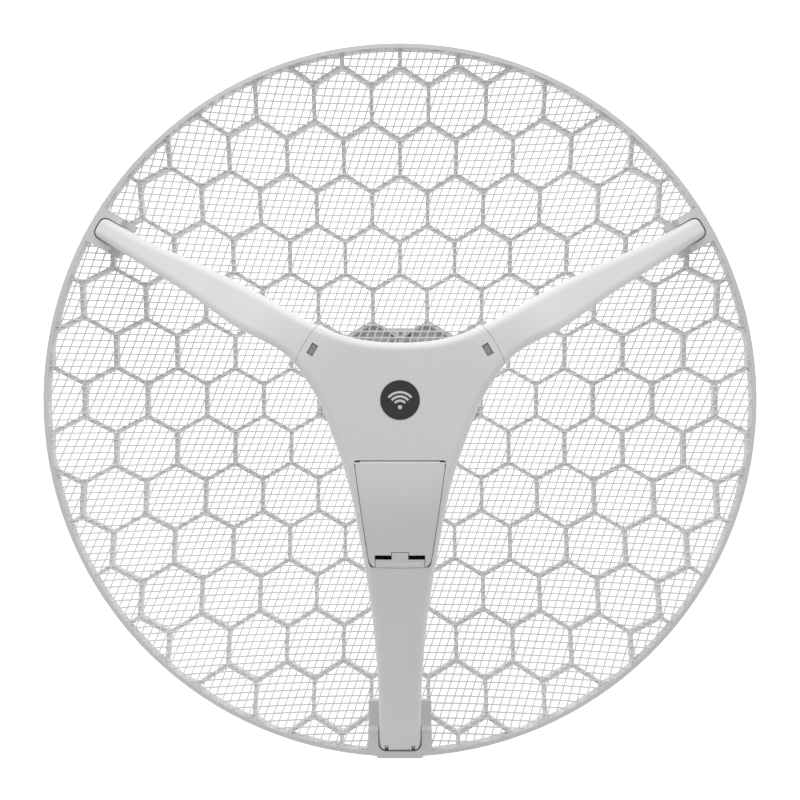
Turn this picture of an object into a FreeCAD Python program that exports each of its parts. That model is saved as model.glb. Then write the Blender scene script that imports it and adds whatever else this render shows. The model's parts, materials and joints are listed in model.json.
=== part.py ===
"""Parabolic grid antenna on a tilting pole clamp. Millimetres, +Z up, the dish faces -Y.

The origin is the middle of the pole clamp's bore, on the pole's axis.
"""

import FreeCAD, Part
import math
import os

# --- Dish ---
DISH_DIAMETER = 391.0
FOCAL_LENGTH = 150.0
VERTEX_Y = -54.0
RIM_WALL = 2.3
RIM_DEPTH = 10.2
RIM_PROUD = 1.0
CELL_PITCH = 32.0
RIB = 1.5
RIB_DEPTH = 8.7
CELL_FILLET = 2.6
SCREEN = 0.8
SCREEN_LIFT = 0.05
RIM_R = DISH_DIAMETER / 2
RIM_INNER_R = RIM_R - RIM_WALL
RIM_FRONT_Y = VERTEX_Y - RIM_R**2 / (4 * FOCAL_LENGTH) - RIM_PROUD

# --- Centre boss ---
BOSS_FRONT_Y = -49.0
BOSS_BACK_Y = VERTEX_Y + RIB_DEPTH

# --- Hub and arms ---
HUB_FACE_Y = -220.0
HUB_BACK_Y = -190.0
HUB_BACK_R = 62.0
ARM_SLOPE = math.radians(38.0)
ARM_ANGLE = 30.0
TIP_R = 191.3
LOWER_TIP_R = 192.2
LOWER_TIP_HALF = 11.3
TIP_FACE_Y = -119.5
TIP_BACK_Y = -108.0
TIP_CORNER = 3.8
FACE_BEND_R = 70.0
PROFILE_END_R = 205.0
WALL = 2.4
EDGE_FILLET = 4.0
SEAM_R = 53.0
SEAM_GAP = 0.15
LID = 2.4
LID_SPLIT_Z = -48.0
LID_END_Z = -165.5
GAP = 0.3
FRONT_LIMIT_Y = -260.0
BACK_LIMIT_Y = -60.0
ARM_RIB_PITCH = 18

# --- Arm sockets in the rim ---
SOCKET_INNER_R = 175.0
SOCKET_HALF = 10.3
POCKET_START_R = 181.0
POCKET_END_R = 191.9
LOWER_POCKET_END_R = LOWER_TIP_R + 0.45
POCKET_HALF = 6.3
POCKET_FLOOR_Y = -105.5
SOCKET_BACK_Y = -102.5
LOWER_SOCKET_HALF = 17.5
LOWER_SOCKET_INNER_R = 167.0
LOWER_POCKET_HALF = 11.8
POCKET_CORNER = TIP_CORNER + 0.4
FOOT_CLEARANCE = 0.45
LIP_HALF = 13.2
LIP_CHAMFER = 1.4
LIP_END_R = 196.4
HOOK_X = 7.3
HOOK_HALF = 0.65
HOOK_TOP_Z = -189.0
HOOK_BOTTOM_Z = -191.0

# --- Port door ---
DOOR_TOP_Z = -29.0
DOOR_BOTTOM_Z = -81.5
DOOR_TOP_HALF = 21.75
DOOR_BOTTOM_HALF = 14.6
DOOR_CORNER = 2.8
FRAME_CORNER = 1.2
DOOR_FOOT_CORNER = 5.6
FRAME_FOOT_CORNER = 4.2
DOOR_FOOT_DROP = 0.6
DOOR_GAP = 0.3
LEDGE_TOP_Z = -33.0
LEDGE_BOTTOM_Z = -72.0
LEDGE_REACH = 1.6
LEDGE = 1.6
LEDGE_CLEARANCE = 0.35
DOOR_HINGE_Z = DOOR_TOP_Z - 1.2
DOOR_HINGE_Y = HUB_FACE_Y + 1.2
DOOR_PIN_R = 0.75
DOOR_PIN_HOLE_R = 0.81
DOOR_PIN_LENGTH = 2.2
LATCH_PIVOT_Z = -73.6
LATCH_HALF = 4.0
LATCH_BAR_HALF = 11.9
LATCH_BAR_TOP_Z = -77.3
LATCH_GRIP_R = 1.3
LATCH_GRIP_HALF = 8.6
SLOT_TOP_Z = -75.0

# --- Electronics ---
BOARD_FRONT_Y = -203.0
BOARD = 1.6
BOARD_TOP_Z = 22.0
BOARD_BOTTOM_Z = -46.0
BOARD_TOP_HALF = 30.0
BOARD_BOTTOM_HALF = 15.0
BOARD_SCREWS = [(-24.0, 15.0), (24.0, 15.0), (-18.5, -18.0), (18.5, -18.0)]
COVER_SCREWS = [(-34.0, 12.5), (34.0, 12.5), (-23.0, -26.5), (23.0, -26.5)]
BADGE_R = 9.3
BADGE_DEPTH = 0.6
BADGE_PROUD = 0.25
BOSS_R = 3.0
SCREW_R = 1.2
SCREW_HEAD_R = 2.3
JACK_HALF = 8.0
JACK_TOP_Z = -27.0
JACK_FRONT_Y = -216.4
JACK_HOLE_HALF = 6.0
JACK_HOLE_DEPTH = 15.5
BUTTON_X = 11.6
BUTTON_Z = -36.0
LED_X = -11.6
FEED_HALF = 15.0
FEED_PLATE_HALF = 20.0
FEED_PATCH_Y = -190.4
FEED_PLATE_Y = -196.4
FEED_POSTS = [(-10.0, -10.0), (10.0, -10.0), (-10.0, 10.0), (10.0, 10.0)]
RADOME_HALF = 23.0
RADOME_BACK_Y = -184.0
RADOME_TOP_Z = 19.0
RADOME_WALL = 2.0

# --- Tilt bracket and pole clamp ---
POLE_R = 20.0
SADDLE_HALF_HEIGHT = 20.0
JAW_R = 24.0
JAW_HALF_ANGLE = 62.0
PIVOT_Y = -33.0
PIVOT_R = 3.0
PIVOT_FIT = 0.06
EAR_R = 8.0
CHEEK_INNER_X = 12.0
CHEEK = 4.0
EAR_INNER_X = 16.3
EAR = 3.5
BASE_FRONT_Y = BOSS_BACK_Y
BASE = 3.6
BASE_HALF_X = 28.0
BASE_HALF_Z = 24.0
BRACKET_SCREWS = [(-23.5, -18.0), (23.5, -18.0), (-23.5, 18.0), (23.5, 18.0)]
BAND_HALF_WIDTH = 6.35
BAND = 0.7
BAND_R = POLE_R + 0.05
BAND_FRONT_R = JAW_R + 0.1
HOUSING_Y = 25.6
WORM_R = 3.2
WORM_FIT = 0.08


def vec(x, y, z):
    return FreeCAD.Vector(x, y, z)


X_AXIS = vec(1, 0, 0)
Y_AXIS = vec(0, 1, 0)
Z_AXIS = vec(0, 0, 1)
ORIGIN = vec(0, 0, 0)


# --- Helpers ---


def box(x0, x1, y0, y1, z0, z1):
    """A box between two corners."""
    return Part.makeBox(x1 - x0, y1 - y0, z1 - z0, vec(x0, y0, z0))


def rod(radius, start, end):
    """A round bar from one point to another."""
    return Part.makeCylinder(radius, (end - start).Length, start, end - start)


def rods_along_y(places, radius, start_y, end_y):
    """Round bars along Y, one at each (x, z) place."""
    return [rod(radius, vec(x, start_y, z), vec(x, end_y, z)) for x, z in places]


def hex_rod(across_flats, start, end):
    """A hexagonal bar from one point to another along X."""
    corner_r = across_flats / math.sqrt(3)
    turns = [math.radians(60 * i) for i in range(7)]
    points = [start + vec(0, corner_r * math.cos(t), corner_r * math.sin(t)) for t in turns]
    return Part.Face(Part.makePolygon(points)).extrude(end - start)


def column(x0, x1, z0, z1):
    """A box that passes right through the hub and arms along Y."""
    return box(x0, x1, FRONT_LIMIT_Y, BACK_LIMIT_Y, z0, z1)


def disc(radius):
    """A cylinder about the dish's axis that passes right through the hub and arms."""
    return Part.makeCylinder(radius, BACK_LIMIT_Y - FRONT_LIMIT_Y, vec(0, FRONT_LIMIT_Y, 0), Y_AXIS)


def mirrored(shape):
    """The shape's mirror image across the plane x = 0."""
    return shape.mirror(ORIGIN, X_AXIS)


def turned(shape, degrees):
    """The shape turned about the dish's axis, anticlockwise as seen from the front."""
    copy = shape.copy()
    copy.rotate(ORIGIN, Y_AXIS, -degrees)
    return copy


def joined(shapes):
    """All the shapes as one solid."""
    return shapes[0].multiFuse(shapes[1:]).removeSplitter()


def arc(start, middle, end):
    """An arc through three points."""
    return Part.Arc(start, middle, end).toShape()


def line(start, end):
    """A straight edge."""
    return Part.LineSegment(start, end).toShape()


def spline(points, first_direction, last_direction):
    """A smooth curve through the points."""
    curve = Part.BSplineCurve()
    curve.interpolate(Points=points, InitialTangent=first_direction, FinalTangent=last_direction)
    return curve.toShape()


def save(name, shape):
    """Writes one node. The packed part needs a closed, valid shape."""
    solids = shape.Solids
    kept = solids[0] if len(solids) == 1 else Part.makeCompound(solids)
    print(f"{name:20s} solids {len(solids)} valid {kept.isValid()} volume {kept.Volume:.0f}")
    kept.exportStep(f"parts/{name}.step")


# --- Dish ---


def dish_y(radius):
    """The reflecting surface: a paraboloid about the Y axis."""
    return VERTEX_Y - radius**2 / (4 * FOCAL_LENGTH)


def parabola(radius, shift):
    """The paraboloid's profile from the axis out to a radius, exact as a quadratic Bezier curve."""
    curve = Part.BezierCurve()
    flat_y = VERTEX_Y + shift
    curve.setPoles([vec(0, flat_y, 0), vec(0, flat_y, radius / 2), vec(0, dish_y(radius) + shift, radius)])
    return curve.toShape()


def paraboloid_shell(radius, front_shift, back_shift):
    """The space between two copies of the reflecting surface, moved along Y."""
    front = parabola(radius, front_shift)
    back = parabola(radius, back_shift)
    axis_edge = line(vec(0, VERTEX_Y + front_shift, 0), vec(0, VERTEX_Y + back_shift, 0))
    end_y = dish_y(radius)
    end_edge = line(vec(0, end_y + front_shift, radius), vec(0, end_y + back_shift, radius))
    wire = Part.Wire(Part.__sortEdges__([front, end_edge, back, axis_edge]))
    return Part.Face(wire).revolve(ORIGIN, Y_AXIS, 360)


def hexagon(centre_x, centre_z, y):
    """One cell of the lattice: a hexagon with a point at the top and rounded corners."""
    side_r = (CELL_PITCH - RIB) / 2 / math.cos(math.pi / 6)
    reach = CELL_FILLET * math.tan(math.pi / 6)
    half_turn = [math.radians(90 + 60 * i) for i in range(6)]
    corners = [vec(centre_x + side_r * math.cos(t), y, centre_z + side_r * math.sin(t)) for t in half_turn]
    centre = vec(centre_x, y, centre_z)
    edges = []
    ends = []
    for i, corner in enumerate(corners):
        to_last = (corners[i - 1] - corner).normalize() * reach
        to_next = (corners[(i + 1) % 6] - corner).normalize() * reach
        inward = (centre - corner).normalize() * (CELL_FILLET / math.cos(math.pi / 6) - CELL_FILLET)
        edges.append(arc(corner + to_last, corner + inward, corner + to_next))
        ends.append((corner + to_last, corner + to_next))
    for i in range(6):
        edges.append(line(ends[i][1], ends[(i + 1) % 6][0]))
    return Part.Face(Part.Wire(Part.__sortEdges__(edges)))


def cell_centres():
    """The middles of the hexagonal cells, with one on the dish's axis."""
    row_pitch = CELL_PITCH * math.sqrt(3) / 2
    rows = int(RIM_R / row_pitch) + 1
    columns = int(RIM_R / CELL_PITCH) + 1
    centres = []
    for row in range(-rows, rows + 1):
        for column in range(-columns, columns + 1):
            x = (column + (row % 2) / 2) * CELL_PITCH
            z = row * row_pitch
            if math.hypot(x, z) < RIM_INNER_R + CELL_PITCH * 0.4:
                centres.append((x, z))
    return centres


def rim_ring():
    """The dish's edge: a short tube with its front lip a little proud of the screen."""
    outer = Part.makeCylinder(RIM_R, RIM_DEPTH, vec(0, RIM_FRONT_Y, 0), Y_AXIS)
    inner = Part.makeCylinder(RIM_INNER_R, RIM_DEPTH, vec(0, RIM_FRONT_Y, 0), Y_AXIS)
    return outer.cut(inner)


def lattice():
    """The hexagonal ribs, behind the reflecting surface."""
    shell = paraboloid_shell(RIM_INNER_R + 0.6, 0, RIB_DEPTH)
    depth = RIB_DEPTH + 80
    cells = [hexagon(x, z, BOSS_BACK_Y + 2 - depth).extrude(vec(0, depth, 0)) for x, z in cell_centres()]
    return shell.cut(Part.makeCompound(cells))


def boss_outline(y):
    """The centre plate's outline: the seven middle cells, closed straight across at top and bottom."""
    right = [(9.5, 43.0), (16, 46.2), (32, 37.0), (32, 18.5), (48, 9.2)]
    right += [(x, -z) for x, z in reversed(right)]
    ring = right + [(-x, -z) for x, z in right]
    points = [vec(x, y, z) for x, z in ring + ring[:1]]
    return Part.Face(Part.makePolygon(points))


def boss_plate():
    """The centre plate that the bracket is screwed to, with its slots, ridges and screw holes."""
    plate = boss_outline(BOSS_FRONT_Y).extrude(vec(0, BOSS_BACK_Y - BOSS_FRONT_Y, 0))
    slots = []
    for row in range(9):
        top = 40.4 - row * 5.6
        for x in (-4.9, 0.3, 5.5):
            slots.append(box(x - 1.1, x + 1.1, BOSS_FRONT_Y - 1, BOSS_BACK_Y + 1, top - 3.4, top))
    holes = rods_along_y(BRACKET_SCREWS, 1.75, BOSS_FRONT_Y - 1, BOSS_BACK_Y + 1)
    ridge = box(-0.6, 0.6, BOSS_FRONT_Y - 2, BOSS_FRONT_Y, -40, 40)
    ridges = [ridge.translated(vec(x, 0, 0)) for x in (-13.6, -10.2, 10.2, 13.6)]
    return joined([plate] + ridges).cut(Part.makeCompound(slots + holes))


def pocket(start_r, end_r, half, front_y, back_y, corner):
    """A rounded pocket or foot for an arm's tip, for an arm that points along +X."""
    plate = box(start_r, end_r, front_y, back_y, -half, half)
    upright = [e for e in plate.Edges if abs(e.BoundBox.YLength - (back_y - front_y)) < 0.01]
    outer = [e for e in upright if e.CenterOfMass.x > (start_r + end_r) / 2]
    return plate.makeFillet(corner, outer)


def lip_block():
    """The short lip under the lower socket, with slanted shoulders, for an arm that points along +X."""
    lip = box(RIM_INNER_R - 6, LIP_END_R, RIM_FRONT_Y, SOCKET_BACK_Y, -LIP_HALF, LIP_HALF)
    upright = [e for e in lip.Edges if abs(e.BoundBox.YLength - (SOCKET_BACK_Y - RIM_FRONT_Y)) < 0.01]
    return lip.makeChamfer(LIP_CHAMFER, [e for e in upright if e.CenterOfMass.x > RIM_R])


def sockets():
    """The three blocks that hold the arms' tips, and what is cut out of them."""
    sizes = [
        (ARM_ANGLE, SOCKET_INNER_R, SOCKET_HALF, POCKET_END_R, POCKET_HALF),
        (180 - ARM_ANGLE, SOCKET_INNER_R, SOCKET_HALF, POCKET_END_R, POCKET_HALF),
        (-90, LOWER_SOCKET_INNER_R, LOWER_SOCKET_HALF, LOWER_POCKET_END_R, LOWER_POCKET_HALF),
    ]
    front_y = RIM_FRONT_Y - 5
    step_y = dish_y(POCKET_START_R)
    blocks = []
    empty = []
    for angle, inner_r, half, end_r, pocket_half in sizes:
        block = box(inner_r, RIM_INNER_R + 1, RIM_FRONT_Y, SOCKET_BACK_Y, -half, half)
        low_front = box(inner_r, POCKET_START_R, front_y, step_y, -half, half)
        hole = pocket(POCKET_START_R, end_r, pocket_half, front_y, POCKET_FLOOR_Y, POCKET_CORNER)
        blocks.append(turned(block, angle))
        empty += [turned(low_front, angle), turned(hole, angle)]
    blocks.append(turned(lip_block(), -90))
    return blocks, empty


def tip_hook():
    """A small hook on the lower pocket's floor, which shows through a notch in the arm's tip."""
    return box(HOOK_X - HOOK_HALF, HOOK_X + HOOK_HALF, TIP_FACE_Y + 1.2, POCKET_FLOOR_Y + 0.5, HOOK_BOTTOM_Z,
               HOOK_TOP_Z)


def reflector_grid():
    """The moulded dish frame: ribs, rim, centre plate and arm sockets in one piece."""
    blocks, empty = sockets()
    body = lattice().multiFuse([rim_ring(), boss_plate()] + blocks)
    return joined([body.cut(Part.makeCompound(empty)), tip_hook(), mirrored(tip_hook())])


def reflector_mesh():
    """The screen on the front of the ribs, as one thin closed sheet."""
    sheet = paraboloid_shell(RIM_INNER_R - GAP, -SCREEN - SCREEN_LIFT, -SCREEN_LIFT)
    gaps = []
    for angle, inner_r, half in (
        (ARM_ANGLE, SOCKET_INNER_R, SOCKET_HALF),
        (180 - ARM_ANGLE, SOCKET_INNER_R, SOCKET_HALF),
        (-90, LOWER_SOCKET_INNER_R, LOWER_SOCKET_HALF),
    ):
        gaps.append(turned(box(inner_r, RIM_R + 5, -140, -90, -half, half), angle))
    return sheet.cut(Part.makeCompound(gaps))


# --- Hub and arms ---


def arm_point(radius, side):
    """A point on the outline of the right arm: so far out along it, and so far to its upper side."""
    turn = math.radians(ARM_ANGLE)
    return vec(
        radius * math.cos(turn) - side * math.sin(turn), 0, radius * math.sin(turn) + side * math.cos(turn)
    )


def outline():
    """The front view of the hub and its three arms as one closed wire, at y = 0."""
    along = arm_point(1, 0)
    corner_r = TIP_R - TIP_CORNER
    slant = TIP_CORNER * math.sqrt(0.5)
    corner_z = TIP_CORNER - LOWER_TIP_R
    foot_half = LOWER_TIP_HALF - TIP_CORNER
    top_edge = spline(
        [vec(0, 0, 27.4), vec(24.3, 0, 30.1), arm_point(55.5, 11), arm_point(84, 10.8), arm_point(138, 7.9),
         arm_point(corner_r, 5.8)],
        X_AXIS, along,
    )
    tip = [
        arc(arm_point(corner_r, 5.8), arm_point(corner_r + slant, 2 + slant), arm_point(TIP_R, 2)),
        line(arm_point(TIP_R, 2), arm_point(TIP_R, -2)),
        arc(arm_point(TIP_R, -2), arm_point(corner_r + slant, -2 - slant), arm_point(corner_r, -5.8)),
    ]
    flank = spline(
        [arm_point(corner_r, -5.8), arm_point(151, -6.5), arm_point(109, -7.9), arm_point(84, -9.3),
         arm_point(57, -9.0), vec(45, 0, 9.7), vec(39.2, 0, 0), vec(32.7, 0, -16), vec(26, 0, -35.5),
         vec(20, 0, -64), vec(14.8, 0, -102), vec(11.5, 0, -155), vec(LOWER_TIP_HALF, 0, corner_z)],
        along * -1, Z_AXIS * -1,
    )
    foot_corner = arc(vec(LOWER_TIP_HALF, 0, corner_z), vec(foot_half + slant, 0, corner_z - slant),
                      vec(foot_half, 0, -LOWER_TIP_R))
    half = [top_edge] + tip + [flank, foot_corner]
    foot = line(vec(foot_half, 0, -LOWER_TIP_R), vec(-foot_half, 0, -LOWER_TIP_R))
    return Part.Wire(Part.__sortEdges__(half + [foot] + [mirrored(edge) for edge in half]))


def prism(wire, front_y=-235.0, back_y=-95.0):
    """A flat outline at y = 0, carried along Y."""
    face = Part.Face(wire)
    face.translate(vec(0, front_y, 0))
    return face.extrude(vec(0, back_y - front_y, 0))


def redrawn(edge):
    """An offset edge as an arc, a line or a plain spline, which meshes cleanly once it is extruded."""
    if edge.Curve.TypeId in ("Part::GeomLine", "Part::GeomCircle"):
        return edge
    steps = 60
    span = edge.LastParameter - edge.FirstParameter
    points = [edge.valueAt(edge.FirstParameter + span * i / steps) for i in range(steps + 1)]
    return spline(points, points[1] - points[0], points[-1] - points[-2])


def inset(wire, distance):
    """A wire moved inwards, or outwards for a negative distance."""
    moved = Part.Face(wire).makeOffset2D(-distance).OuterWire
    return Part.Wire(Part.__sortEdges__([redrawn(edge) for edge in moved.Edges]))


def face_profile(depth):
    """The front face in side view, moved back square to itself: hub plane, bend, then the arms' slope."""
    crease_r = TIP_R - (TIP_FACE_Y - HUB_FACE_Y) / math.tan(ARM_SLOPE)
    bend_start = crease_r - FACE_BEND_R * math.tan(ARM_SLOPE / 2)
    centre_y = HUB_FACE_Y + FACE_BEND_R
    radius = FACE_BEND_R - depth

    def on_bend(angle):
        return vec(0, centre_y - radius * math.cos(angle), bend_start + radius * math.sin(angle))

    slope_end = on_bend(ARM_SLOPE)
    run = PROFILE_END_R - slope_end.z
    end = vec(0, slope_end.y + run * math.tan(ARM_SLOPE), PROFILE_END_R)
    start = vec(0, HUB_FACE_Y + depth, 0)
    bend = arc(on_bend(0), on_bend(ARM_SLOPE / 2), slope_end)
    return [line(start, on_bend(0)), bend, line(slope_end, end)], start, end


def back_y(radius, lift):
    """The back of the hub and arms: flat, then sloping to the arms' tips. Lift moves it to the front."""
    slope = (TIP_BACK_Y - HUB_BACK_Y) / (TIP_R - HUB_BACK_R)
    return HUB_BACK_Y + max(0.0, radius - HUB_BACK_R) * slope - lift


def back_points(lift):
    """The corners of the back surface in side view, from the outside in."""
    return [vec(0, back_y(r, lift), r) for r in (PROFILE_END_R, HUB_BACK_R, 0)]


def revolved(edges, points):
    """Turns a closed profile, made of edges and then a run of straight lines, about the dish's axis."""
    sides = [line(a, b) for a, b in zip(points, points[1:])]
    return Part.Face(Part.Wire(edges + sides)).revolve(ORIGIN, Y_AXIS, 360)


def between_face_and_back(depth, lift):
    """The space from the front face, moved back by depth, to the back surface, moved forwards by lift."""
    edges, start, end = face_profile(depth)
    return revolved(edges, [end] + back_points(lift) + [start])


def between_depths(front_depth, back_depth):
    """A layer of even thickness that follows the front face."""
    front, front_start, front_end = face_profile(front_depth)
    back, back_start, back_end = face_profile(back_depth)
    sides = [line(front_end, back_end), line(back_start, front_start)]
    return Part.Face(Part.Wire(Part.__sortEdges__(front + back + sides))).revolve(ORIGIN, Y_AXIS, 360)


def back_layer(front_lift, back_lift):
    """A layer that follows the back surface."""
    ring = back_points(front_lift) + list(reversed(back_points(back_lift)))
    return revolved([], ring + ring[:1])


def front_rim_edges(solid, wire):
    """The edges where the front face meets the outline's side walls."""
    found = []
    for edge in solid.Edges:
        spots = [edge.valueAt(edge.FirstParameter + f * (edge.LastParameter - edge.FirstParameter)) for f in
                 (0.02, 0.25, 0.5, 0.75, 0.98)]
        upright = math.hypot(spots[0].x - spots[-1].x, spots[0].z - spots[-1].z) < 0.01
        in_front = all(p.y < back_y(math.hypot(p.x, p.z), 3) for p in spots)
        on_outline = all(wire.distToShape(Part.Vertex(p.x, 0, p.z))[0] < 0.02 for p in spots)
        if in_front and on_outline and not upright:
            found.append(edge)
    return found


def moulded_body(wire):
    """The hub and arms as one thick block with its front edges rounded."""
    block = prism(wire).common(between_face_and_back(0, LID)).Solids[0]
    return block.makeFillet(EDGE_FILLET, front_rim_edges(block, wire))


def hub_zone(radius):
    """The part of space that belongs to the hub and the lower arm."""
    return disc(radius).fuse(column(-60, 60, -200, 0))


def along_arm(shape, right):
    """Turns a shape made for an arm along +X to the right or the left upper arm."""
    return turned(shape, ARM_ANGLE) if right else mirrored(turned(shape, ARM_ANGLE))


def arm_tongue(wall_slack):
    """The tongue that plugs an arm into the hub, with its hook, or the room for it with some slack."""
    layer = between_depths(WALL + 0.2 - wall_slack, WALL + 2.4 + wall_slack)
    strip = layer.common(column(43 - wall_slack, 57, -5.5 - wall_slack, 5.5 + wall_slack))
    hook = between_depths(0.7, WALL + 0.4).common(column(47.0, 49.2, -2.5, 2.5))
    return strip if wall_slack else strip.fuse(hook)


def hook_window():
    """The window in the hub's face that an arm's hook shows in."""
    return box(46.5, 49.8, FRONT_LIMIT_Y, HUB_FACE_Y + WALL + 1.5, -2.85, 2.85)


def hub_end_wall(right):
    """The hub's wall under the seam with an arm, with a slot for the arm's tongue."""
    ring = disc(SEAM_R).cut(disc(SEAM_R - 2))
    return ring.common(along_arm(column(0, 80, -30, 30), right))


def door_block(grow, corner, foot_corner):
    """The door's outline carried along Y: a rounded trapezium, wider at the top."""
    side_slope = (DOOR_TOP_HALF - DOOR_BOTTOM_HALF) / (DOOR_TOP_Z - DOOR_BOTTOM_Z)

    def half_width(z):
        return DOOR_BOTTOM_HALF + (z - DOOR_BOTTOM_Z) * side_slope + grow * math.hypot(1, side_slope)

    top = DOOR_TOP_Z + grow
    foot = DOOR_BOTTOM_Z - DOOR_FOOT_DROP - grow
    right = [vec(half_width(top), 0, top), vec(half_width(foot), 0, foot)]
    left = [vec(-half_width(foot), 0, foot), vec(-half_width(top), 0, top)]
    block = prism(Part.makePolygon(right + left + right[:1]))
    for radius, level in ((corner, top), (foot_corner, foot)):
        ends = [e for e in block.Edges if e.BoundBox.YLength > 10 and abs(e.CenterOfMass.z - level) < 0.01]
        block = block.makeFillet(radius, ends)
    return block


def door_swing(grow):
    """The cylinder about the hinge that the door's foot is cut to, so that it clears the frame."""
    foot_y = face_y(-DOOR_BOTTOM_Z)
    reach = math.hypot(foot_y - DOOR_HINGE_Y, DOOR_BOTTOM_Z - DOOR_HINGE_Z) + grow
    return rod(reach, vec(-40, DOOR_HINGE_Y, DOOR_HINGE_Z), vec(40, DOOR_HINGE_Y, DOOR_HINGE_Z))


def face_y(radius):
    """The front face's height at a distance from the dish's axis."""
    crease_r = TIP_R - (TIP_FACE_Y - HUB_FACE_Y) / math.tan(ARM_SLOPE)
    bend_start = crease_r - FACE_BEND_R * math.tan(ARM_SLOPE / 2)
    bend_end = bend_start + FACE_BEND_R * math.sin(ARM_SLOPE)
    if radius <= bend_start:
        return HUB_FACE_Y
    if radius <= bend_end:
        return HUB_FACE_Y + FACE_BEND_R - math.sqrt(FACE_BEND_R**2 - (radius - bend_start) ** 2)
    return TIP_FACE_Y - (TIP_R - radius) * math.tan(ARM_SLOPE)


def screw_posts():
    """The hub's posts: short ones that carry the board, and long ones for the rear cover's screws."""
    root_y = HUB_FACE_Y + WALL - 0.5
    return (rods_along_y(BOARD_SCREWS, BOSS_R, root_y, BOARD_FRONT_Y)
            + rods_along_y(COVER_SCREWS, BOSS_R, root_y, HUB_BACK_Y - LID))


def pilot_holes():
    """The screws' holes in the posts."""
    return (rods_along_y(BOARD_SCREWS, SCREW_R, BOARD_FRONT_Y - 8, BOARD_FRONT_Y + 1)
            + rods_along_y(COVER_SCREWS, SCREW_R, HUB_BACK_Y - 12, HUB_BACK_Y + 1))


def door_ledges():
    """The ledges along both sides of the door's opening, which the closed door lies just in front of."""
    outer = door_block(LEDGE_REACH, DOOR_CORNER, DOOR_CORNER)
    band = outer.cut(door_block(-LEDGE_REACH, DOOR_CORNER, DOOR_CORNER))
    sides = band.common(column(-40, 40, LEDGE_BOTTOM_Z, LEDGE_TOP_Z))
    return sides.common(between_depths(WALL - 0.1, WALL + LEDGE)).Solids


def door_opening():
    """The door's opening in the hub's face, with the holes for its hinge pins."""
    frame = door_block(DOOR_GAP, FRAME_CORNER, FRAME_FOOT_CORNER).common(door_swing(DOOR_GAP))
    opening = frame.common(between_depths(-2, WALL + LEDGE_CLEARANCE))
    pins = rod(DOOR_PIN_HOLE_R, vec(-25, DOOR_HINGE_Y, DOOR_HINGE_Z), vec(25, DOOR_HINGE_Y, DOOR_HINGE_Z))
    return [opening, pins]


def lower_foot():
    """The lower arm's foot, which fills its socket's pocket, as an open box."""
    plug = pocket(POCKET_START_R + FOOT_CLEARANCE, LOWER_TIP_R, LOWER_POCKET_HALF - 0.45, TIP_FACE_Y + 3.5,
                  POCKET_FLOOR_Y - GAP, TIP_CORNER)
    return turned(plug, -90).cut(prism(inset(outline(), WALL), back_y=TIP_BACK_Y - LID))


def tip_notches():
    """The two notches at the lower arm's end that the socket's hooks show in."""
    half = HOOK_HALF + 0.35
    notch = column(HOOK_X - half, HOOK_X + half, -LOWER_TIP_R - 1, HOOK_TOP_Z + 0.2)
    return [notch, mirrored(notch)]


def front_cover(body, cavity):
    """The hub's front shell with the lower arm, its screw posts, end walls and the door's opening."""
    shell = body.cut(cavity).common(hub_zone(SEAM_R - SEAM_GAP))
    ends = [hub_end_wall(right).common(body) for right in (True, False)]
    shell = joined([shell, lower_foot()] + ends + screw_posts() + door_ledges())
    slots = [along_arm(arm_tongue(0.25), right) for right in (True, False)]
    windows = [along_arm(hook_window(), right) for right in (True, False)]
    badge_seat = rod(BADGE_R + 0.2, vec(0, HUB_FACE_Y - 1, 0), vec(0, HUB_FACE_Y + BADGE_DEPTH, 0))
    cuts = door_opening() + pilot_holes() + tip_notches() + slots + windows + [badge_seat]
    return shell.cut(Part.makeCompound(cuts))


def upper_arm(body, cavity, right):
    """A snap-in arm: a channel open to the back, with cross ribs, a foot for the socket and a tongue."""
    zone = column(0, 250, 0, 250).cut(hub_zone(SEAM_R + SEAM_GAP))
    zone = zone if right else mirrored(zone)
    channel = body.cut(cavity).common(zone)
    ribs = [column(r - 0.8, r + 0.8, -12, 12) for r in range(70, 180, ARM_RIB_PITCH)]
    floor = between_face_and_back(WALL - 0.5, LID + 2.5)
    webs = [along_arm(rib, right).common(body).common(floor) for rib in ribs]
    root = column(SEAM_R + 0.5, SEAM_R + 3.5, -14, 14)
    webs.append(along_arm(root, right).common(body).common(zone))
    foot = pocket(POCKET_START_R + FOOT_CLEARANCE, TIP_R, POCKET_HALF - 0.5, TIP_FACE_Y + 1.5,
                  POCKET_FLOOR_Y - GAP, TIP_CORNER)
    return joined([channel] + webs + [along_arm(foot, right), along_arm(arm_tongue(0), right)])


def hub_rear_cover(wire):
    """The hub's back plate with the raised radome over the feed."""
    keep = hub_zone(SEAM_R - SEAM_GAP).common(column(-80, 80, LID_SPLIT_Z, 80))
    plate = prism(wire).common(back_layer(LID, 0)).common(keep)
    radome = box(-RADOME_HALF, RADOME_HALF, HUB_BACK_Y - LID, RADOME_BACK_Y, -RADOME_HALF, RADOME_TOP_Z)
    sides = [e for e in radome.Edges if e.BoundBox.YLength > 5]
    radome = radome.makeFillet(5, sides)
    back_edges = [e for e in radome.Edges if e.BoundBox.YMin > RADOME_BACK_Y - 0.01]
    radome = radome.makeFillet(1.5, back_edges)
    inner_half = RADOME_HALF - RADOME_WALL
    hollow = box(-inner_half, inner_half, HUB_BACK_Y - LID - 1, RADOME_BACK_Y - RADOME_WALL, -inner_half,
                 RADOME_TOP_Z - RADOME_WALL)
    holes = rods_along_y(COVER_SCREWS, SCREW_R + 0.3, HUB_BACK_Y - 5, HUB_BACK_Y + 1)
    return joined([plate, radome]).cut(Part.makeCompound([hollow] + holes))


def lower_arm_cover(wire):
    """The lid over the cable channel. It stops short of the arm's foot, so that the cable can leave."""
    keep = column(-40, 40, LID_END_Z, LID_SPLIT_Z - SEAM_GAP)
    return prism(wire).common(back_layer(LID, 0)).common(keep)


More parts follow.
